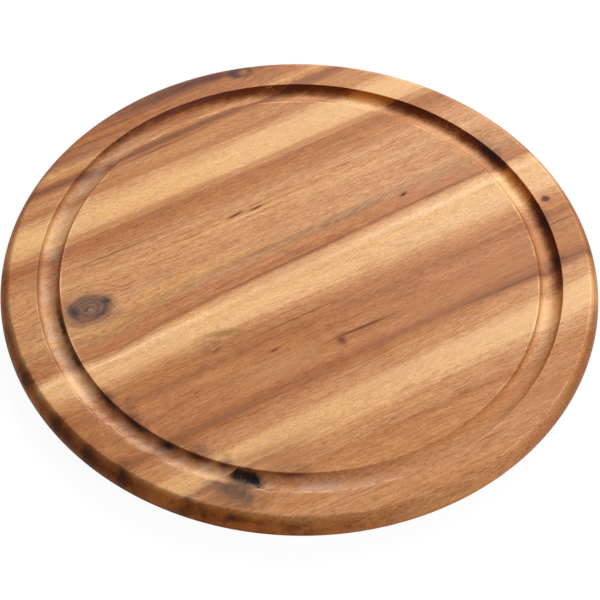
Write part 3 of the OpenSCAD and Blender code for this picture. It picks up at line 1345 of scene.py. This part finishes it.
WIDE_WOOD = AcaciaFinish(
    name="acacia_wide",
    seed=37.0,
    lean=-0.2,
    tilt=Tilt(slope=0.034, across=-70.0, reach=20.0),
    bands=(
        Band(-92.0, Tone.SAP_SHADE),
        Band(-86.0, Tone.SAP_SHADE),
        Band(-79.0, Tone.SAP_SHADE),
        Band(-76.5, Tone.STRAW),
        Band(-73.5, Tone.HONEY),
        Band(-67.5, Tone.HONEY),
        Band(-63.0, Tone.CARAMEL),
        Band(-59.0, Tone.UMBER),
        Band(-55.0, Tone.RUSSET),
        Band(-51.0, Tone.CARAMEL),
        Band(-40.0, Tone.CARAMEL),
        Band(-33.0, Tone.CARAMEL),
        Band(-28.0, Tone.UMBER),
        Band(-22.0, Tone.CARAMEL),
        Band(-17.5, Tone.TAN),
        Band(-13.0, Tone.STRAW),
        Band(-9.0, Tone.SAP_SHADE),
        Band(-4.0, Tone.SAP),
        Band(1.0, Tone.SAP),
    ),
    knots=(
        Knot(144.9, -16.6, 2.4, 2.1, Tone.KNOT_PURPLE, Tone.KNOT_PURPLE, rings=0.5),
    ),
    feathers=(
        Feather(-58.0, -18.0, 13.0, 8.0, turn=0.5, depth=0.90, tone=Tone.OLIVE, stroke=(7.0, 2.2)),
        Feather(-37.0, -24.5, 9.0, 5.0, turn=0.3, depth=0.45, tone=Tone.SIENNA, stroke=(8.0, 1.6)),
    ),
    marks=(
        Mark(-54.0, -11.0, 14.0, 1.6, Tone.OLIVE, 0.75, slant=-0.30, bow=-0.016),
        Mark(-35.0, -23.5, 5.0, 1.6, Tone.SIENNA, 0.40, slant=-0.2),
        Mark(-36.0, -35.0, 2.8, 0.75, Tone.CHECK, 1.25),
        Mark(-62.0, -20.0, 3.0, 0.8, Tone.CHECK, 1.0, slant=0.3),
        Mark(12.5, -44.4, 15.5, 0.75, Tone.CHECK, 1.7, slant=-0.03),
        Mark(-1.5, -46.5, 2.4, 3.4, Tone.CHECK, 1.15),
        Mark(-16.0, -22.0, 24.0, 0.5, Tone.KNOT_BROWN, 0.65),
        Mark(-40.0, -46.0, 22.0, 5.0, Tone.HONEY, 0.4),
        Mark(-85.0, -60.5, 30.0, 2.0, Tone.PLUM, 0.95),
        Mark(26.0, -57.5, 26.0, 1.2, Tone.PLUM, 0.55),
        Mark(105.0, -50.0, 46.0, 10.0, Tone.UMBER, 0.55),
        Mark(96.0, -46.5, 40.0, 0.8, Tone.RUSSET, 0.60, slant=-0.02),
        Mark(112.0, -53.0, 32.0, 1.2, Tone.PLUM, 0.55, slant=-0.02),
        Mark(98.0, -58.4, 44.0, 2.2, Tone.PLUM, 1.2, slant=-0.02),
        Mark(104.0, -59.4, 30.0, 0.9, Tone.BARK, 0.65, slant=-0.03),
        Mark(142.0, -58.0, 12.0, 1.8, Tone.BARK, 0.60, slant=-0.08),
        # Near-black on the groove's outer wall at the right: partly stain, partly painted shade on
        # the wall turned from the key lamp.
        Mark(136.5, -29.0, 5.0, 9.0, Tone.TAR, 0.85, height=14.4, half_height=2.0),
        Mark(127.5, -56.0, 6.0, 4.0, Tone.TAR, 1.1, height=14.3, half_height=2.0),
        Mark(105.0, -83.0, 55.0, 6.0, Tone.SAP, 0.70),
        Mark(-74.0, -90.8, 24.0, 3.2, Tone.CARAMEL, 1.0),
        Mark(0.0, -80.5, 45.0, 3.0, Tone.STRAW, 0.50),
        Mark(-134.0, -63.3, 9.0, 1.8, Tone.PLUM, 0.80),
        Mark(144.9, -16.6, 4.0, 3.0, Tone.SIENNA, 0.20),
        Mark(144.9, -16.6, 1.8, 1.4, Tone.KNOT_PURPLE, 1.0),
        Mark(-129.0, -3.0, 3.6, 3.5, Tone.AMBER, 0.50, height=14.0, half_height=2.0),
        # Dark along the inner wall at the left and front-left, near the lip: partly stains, partly
        # painted shade.
        Mark(-126.5, -20.0, 3.8, 9.0, Tone.KNOT_BROWN, 1.1, height=14.8, half_height=1.9),
        Mark(-121.5, -40.0, 5.0, 12.0, Tone.KNOT_BROWN, 1.2, height=14.8, half_height=1.9),
        Mark(-104.0, -75.0, 8.0, 9.0, Tone.KNOT_BROWN, 1.0, height=14.8, half_height=1.8),
        Mark(-95.0, -87.0, 7.0, 5.0, Tone.KNOT_BROWN, 0.85, height=14.8, half_height=1.8),
        Mark(144.0, -33.5, 8.0, 0.5, Tone.KNOT_BROWN, 0.7),
        Mark(-114.0, -61.5, 6.5, 5.0, Tone.INK, 1.0, height=14.4, half_height=2.0),
        # Dark on the left edge: partly stains, partly painted shade on the side turned from the
        # lamps.
        Mark(-143.5, -64.0, 8.5, 7.0, Tone.TAR, 1.15, height=12.5, half_height=4.0),
        Mark(-152.0, -45.0, 6.0, 7.0, Tone.KNOT_BROWN, 0.90, height=12.0, half_height=6.0),
        Mark(-157.0, -21.0, 6.0, 7.5, Tone.KNOT_BROWN, 1.0, height=12.5, half_height=6.0),
        Mark(-158.0, -7.0, 5.0, 5.0, Tone.AMBER, 0.80, height=13.5),
        Mark(-131.0, -86.0, 6.0, 6.0, Tone.AMBER, 0.50, height=13.0),
    ),
)

FRONT_EDGE_WOOD = AcaciaFinish(
    name="acacia_front_edge",
    seed=53.0,
    lean=0.3,
    bands=(
        Band(-160.0, Tone.HONEY),
        Band(-150.0, Tone.TAN),
        Band(-138.0, Tone.HONEY),
        Band(-126.0, Tone.TAN),
        Band(-116.0, Tone.TAN),
        Band(-109.0, Tone.CARAMEL),
        Band(-103.0, Tone.HONEY),
        Band(-96.0, Tone.STRAW),
        Band(-91.0, Tone.SAP_SHADE),
    ),
    knots=(
        Knot(
            -92.5, -100.5, 7.0, 6.5, Tone.INK, Tone.SMEAR, rings=1.2, contrast=0.10, cover=0.9
        ),
    ),
    marks=(
        Mark(
            -100.0, -103.6, 10.5, 10.5, Tone.SMEAR, 1.25, slant=-0.95, height=15.0, half_height=9.0
        ),
        Mark(-94.5, -103.5, 8.0, 1.2, Tone.TAR, 0.30, slant=-0.8, bow=-0.05),
        Mark(-97.0, -107.0, 8.0, 1.2, Tone.TAR, 0.28, slant=-0.8, bow=-0.05),
        Mark(-97.5, -103.2, 3.2, 0.8, Tone.TAR, 0.40, slant=1.09),
        Mark(-101.5, -101.0, 3.2, 0.7, Tone.TAR, 0.35, slant=1.2),
        Mark(-94.2, -107.0, 3.2, 0.8, Tone.TAR, 0.35, slant=1.0),
        Mark(-99.6, -105.6, 3.4, 0.7, Tone.ROSE, 0.14, slant=1.4),
        Mark(-95.6, -104.6, 3.0, 0.7, Tone.ROSE, 0.14, slant=0.8),
        Mark(-107.0, -105.0, 7.0, 4.5, Tone.PLUM, 0.75, slant=-0.4),
        Mark(-68.0, -101.0, 18.0, 5.0, Tone.UMBER, 0.90),
        Mark(72.0, -131.0, 30.0, 6.0, Tone.UMBER, 0.60),
        Mark(-68.0, -109.0, 12.0, 6.0, Tone.KNOT_BROWN, 0.65, height=15.0, half_height=1.3),
        Mark(-74.0, -94.4, 22.0, 2.0, Tone.PLUM, 0.75, slant=0.02),
        # Black patch of the knot on the groove's inner wall: partly the knot's stain, partly
        # painted shade.
        Mark(-88.9, -97.0, 7.0, 4.4, Tone.INK, 1.7, slant=-0.93, height=14.4, half_height=1.9),
        Mark(-86.2, -100.5, 4.0, 6.4, Tone.INK, 2.0, slant=-0.91, height=13.0, half_height=2.0),
        Mark(-92.5, -95.6, 3.4, 5.0, Tone.INK, 1.2, slant=-0.91, height=13.4, half_height=2.0),
        Mark(-93.6, -96.4, 2.2, 0.7, Tone.KNOT_PALE, 0.40, slant=0.80),
        Mark(-92.2, -98.2, 2.4, 0.7, Tone.KNOT_PALE, 0.45, slant=1.30),
        Mark(-90.6, -99.4, 2.0, 0.6, Tone.KNOT_PALE, 0.35, slant=0.95),
        Mark(-88.6, -101.6, 1.8, 0.5, Tone.KNOT_PURPLE, 0.60, slant=1.12),
        Mark(-112.0, -96.5, 8.0, 2.2, Tone.PLUM, 0.60),
        # Dark on the front-left edge: partly a stain, partly painted shade on the side turned from
        # the lamps.
        Mark(-123.0, -99.8, 8.0, 7.0, Tone.TAR, 1.1, height=12.0, half_height=4.5),
        Mark(-104.6, -117.0, 9.0, 5.5, Tone.TAR, 0.95, height=12.5, half_height=2.4),
        Mark(-108.0, -97.0, 8.0, 1.8, Tone.PLUM, 0.60),
    ),
)

GLUE = GlueFinish("cured_wood_glue")
PALE_GLUE = GlueFinish("cured_wood_glue_in_sapwood", film=Tone.STRAW, dust=Tone.SAP)

PIECES = (
    BoardPiece("back_edge_stave", "stave_1_back_edge", Slot.HEARTWOOD, BACK_EDGE_WOOD),
    BoardPiece("narrow_stave", "stave_2_narrow", Slot.BANDED, NARROW_WOOD),
    BoardPiece("knot_stave", "stave_3_knot", Slot.HEARTWOOD, KNOT_WOOD),
    BoardPiece("wide_stave", "stave_4_wide", Slot.BANDED, WIDE_WOOD),
    BoardPiece("front_edge_stave", "stave_5_front_edge", Slot.HEARTWOOD, FRONT_EDGE_WOOD),
    BoardPiece("glue_film_1_2", "glue_line_1_2", Slot.GLUE, GLUE),
    BoardPiece("glue_film_2_3", "glue_line_2_3", Slot.GLUE, GLUE),
    BoardPiece("glue_film_3_4", "glue_line_3_4", Slot.GLUE, PALE_GLUE),
    BoardPiece("glue_film_4_5", "glue_line_4_5", Slot.GLUE, GLUE),
)


@dataclass(frozen=True)
class Lamp:
    """A soft lamp over the board.

    Attributes:
        name: Name of the lamp.
        bearing: Its direction, from the grain's direction towards the back.
        rise: Its height above the horizon, as an angle.
        level: How bright it makes a white card that lies on the board.
        distance: Its distance from the board.
        size: Width and height of its face.
    """

    name: str
    bearing: float
    rise: float
    level: float
    distance: float
    size: tuple[float, float]

    def hang(self) -> None:
        """Hangs the lamp and turns its face to the board."""
        flat = math.cos(self.rise)
        towards = Vector(
            (flat * math.cos(self.bearing), flat * math.sin(self.bearing), math.sin(self.rise))
        )
        bpy.ops.object.light_add(type="AREA", location=towards * self.distance)
        lamp = bpy.context.active_object
        lamp.name = self.name
        lamp.rotation_mode = "QUATERNION"
        lamp.rotation_quaternion = (-towards).to_track_quat("-Z", "Y")
        lamp.visible_camera = False
        lamp.data.shape = "RECTANGLE"
        lamp.data.size, lamp.data.size_y = self.size
        lamp.data.energy = self.level * (math.pi * self.distance) ** 2 / towards.z


@dataclass
class Studio:
    """Floor, light and camera.

    Attributes:
        floor_size: Side of the square floor.
        floor_glow: Share of the floor's white that doesn't take the board's shadow.
        floor_shade: Share that does.
        floor_bounce: Colour of the floor for the light that it throws back at the board.
        ambient: Level of the even light from all round.
        lamps: The soft lamps.
        view_bearing: How far the camera stands round to the left of the front.
        view_height: Its height above the horizon.
        view_roll: How far it is turned about its own axis.
        view_distance: Its distance from the middle of the underside.
        lens: Its focal length, in millimetres.
        sensor: Width of its sensor, in millimetres.
        clip: Nearest and farthest distance that it sees.
        shift: How far its frame is moved off its axis, as shares of the frame.
    """

    floor_size: float = 60.0
    floor_glow: float = 0.95
    floor_shade: float = 0.07
    floor_bounce: Tone = Tone.FLOOR
    ambient: float = 0.02
    lamps: tuple[Lamp, ...] = (
        Lamp("key_light", math.radians(39.0), math.radians(38.0), 0.92, 2.0, (2.0, 0.95)),
        Lamp("fill_light", math.radians(-65.0), math.radians(26.0), 0.29, 1.8, (0.9, 0.7)),
        Lamp("left_card", math.radians(165.0), math.radians(20.0), 0.042, 1.8, (0.9, 0.7)),
    )
    view_bearing: float = math.radians(31.0)
    view_height: float = math.radians(50.97)
    view_roll: float = math.radians(1.18)
    view_distance: float = 2.031
    lens: float = 226.8
    sensor: float = 36.0
    clip: tuple[float, float] = (0.05, 100.0)
    shift: tuple[float, float] = (0.001, -0.0028)

    def seen_directly(self, weaver: NodeWeaver) -> Socket:
        """Tells apart what is seen straight on, in a reflection or through glass.

        Args:
            weaver: Adds the nodes.

        Returns:
            A socket that is 1 for those rays and 0 for light that bounces about.
        """
        path = weaver.add("ShaderNodeLightPath").outputs
        mirrored = weaver.math("MAXIMUM", path["Is Camera Ray"], path["Is Glossy Ray"])
        return weaver.math("MAXIMUM", mirrored, path["Is Transmission Ray"])

    def lay_floor(self) -> None:
        """Lays a plain white floor that keeps the board's shadow."""
        bpy.ops.object.select_all(action="DESELECT")
        bpy.ops.mesh.primitive_plane_add(size=self.floor_size, location=(0.0, 0.0, 0.0))
        floor = bpy.context.active_object
        floor.name = "studio_floor"
        material, weaver, output = new_material("white_floor")
        seen = self.seen_directly(weaver)
        bounce = weaver.add("ShaderNodeBsdfDiffuse", {"Color": self.floor_bounce.linear()})
        shaded = weaver.add("ShaderNodeBsdfDiffuse", {"Color": (self.floor_shade,) * 3 + (1.0,)})
        glow = weaver.add("ShaderNodeEmission", {"Color": (1.0,) * 4, "Strength": self.floor_glow})
        white = weaver.add("ShaderNodeAddShader")
        weaver.feed(white.inputs[0], shaded.outputs["BSDF"])
        weaver.feed(white.inputs[1], glow.outputs["Emission"])
        chosen = weaver.add("ShaderNodeMixShader", {"Fac": seen})
        weaver.feed(chosen.inputs[1], bounce.outputs["BSDF"])
        weaver.feed(chosen.inputs[2], white.outputs["Shader"])
        weaver.feed(output.inputs["Surface"], chosen.outputs["Shader"])
        floor.data.materials.append(material)

    def light(self) -> None:
        """Sets the even light and hangs the lamps."""
        world = bpy.data.worlds.new("studio_world")
        world.use_nodes = True
        world.node_tree.nodes.clear()
        weaver = NodeWeaver(world.node_tree)
        level = weaver.fade(self.seen_directly(weaver), Step(0.0, 1.0, self.ambient, 1.0))
        background = weaver.add("ShaderNodeBackground", {"Color": (1.0,) * 4, "Strength": level})
        output = weaver.add("ShaderNodeOutputWorld")
        weaver.feed(output.inputs["Surface"], background.outputs["Background"])
        bpy.context.scene.world = world
        for lamp in self.lamps:
            lamp.hang()

    def place_camera(self) -> None:
        """Stands the camera where the photograph was taken from."""
        camera = bpy.data.objects.new("photo_camera", bpy.data.cameras.new("photo_camera"))
        bpy.context.scene.collection.objects.link(camera)
        turn = (math.cos(self.view_bearing), math.sin(self.view_bearing))
        flat, rise = math.cos(self.view_height), math.sin(self.view_height)
        back = Vector((-turn[1] * flat, -turn[0] * flat, rise))
        level = Vector((turn[0], -turn[1], 0.0))
        upright = back.cross(level)
        right = math.cos(self.view_roll) * level + math.sin(self.view_roll) * upright
        up = math.cos(self.view_roll) * upright - math.sin(self.view_roll) * level
        turned = Matrix((right, up, back)).transposed().to_4x4()
        camera.matrix_world = Matrix.Translation(back * self.view_distance) @ turned
        camera.data.sensor_width = self.sensor
        camera.data.lens = self.lens
        camera.data.shift_x, camera.data.shift_y = self.shift
        camera.data.clip_start, camera.data.clip_end = self.clip
        bpy.context.scene.camera = camera

    def set_up(self) -> None:
        """Makes the whole studio."""
        bpy.context.scene.view_settings.view_transform = "Standard"
        self.lay_floor()
        self.light()
        self.place_camera()


def main() -> None:
    """Builds and dresses the board, then sets up the studio."""
    logging.basicConfig(level=logging.INFO, format="%(name)s: %(message)s")
    low, high = cad_box
    turned = TurnedBlank(TurnedSection(radius=(high.x - low.x) / 2, thickness=high.z))
    blank = turned.turn()
    for piece in PIECES:
        made = piece.build(turned, blank)
        piece.dress(made)
        log.info("%s: %d faces", made.name, len(made.data.polygons))
    bpy.data.objects.remove(blank)
    Studio().set_up()


if __name__ == "__main__":
    main()
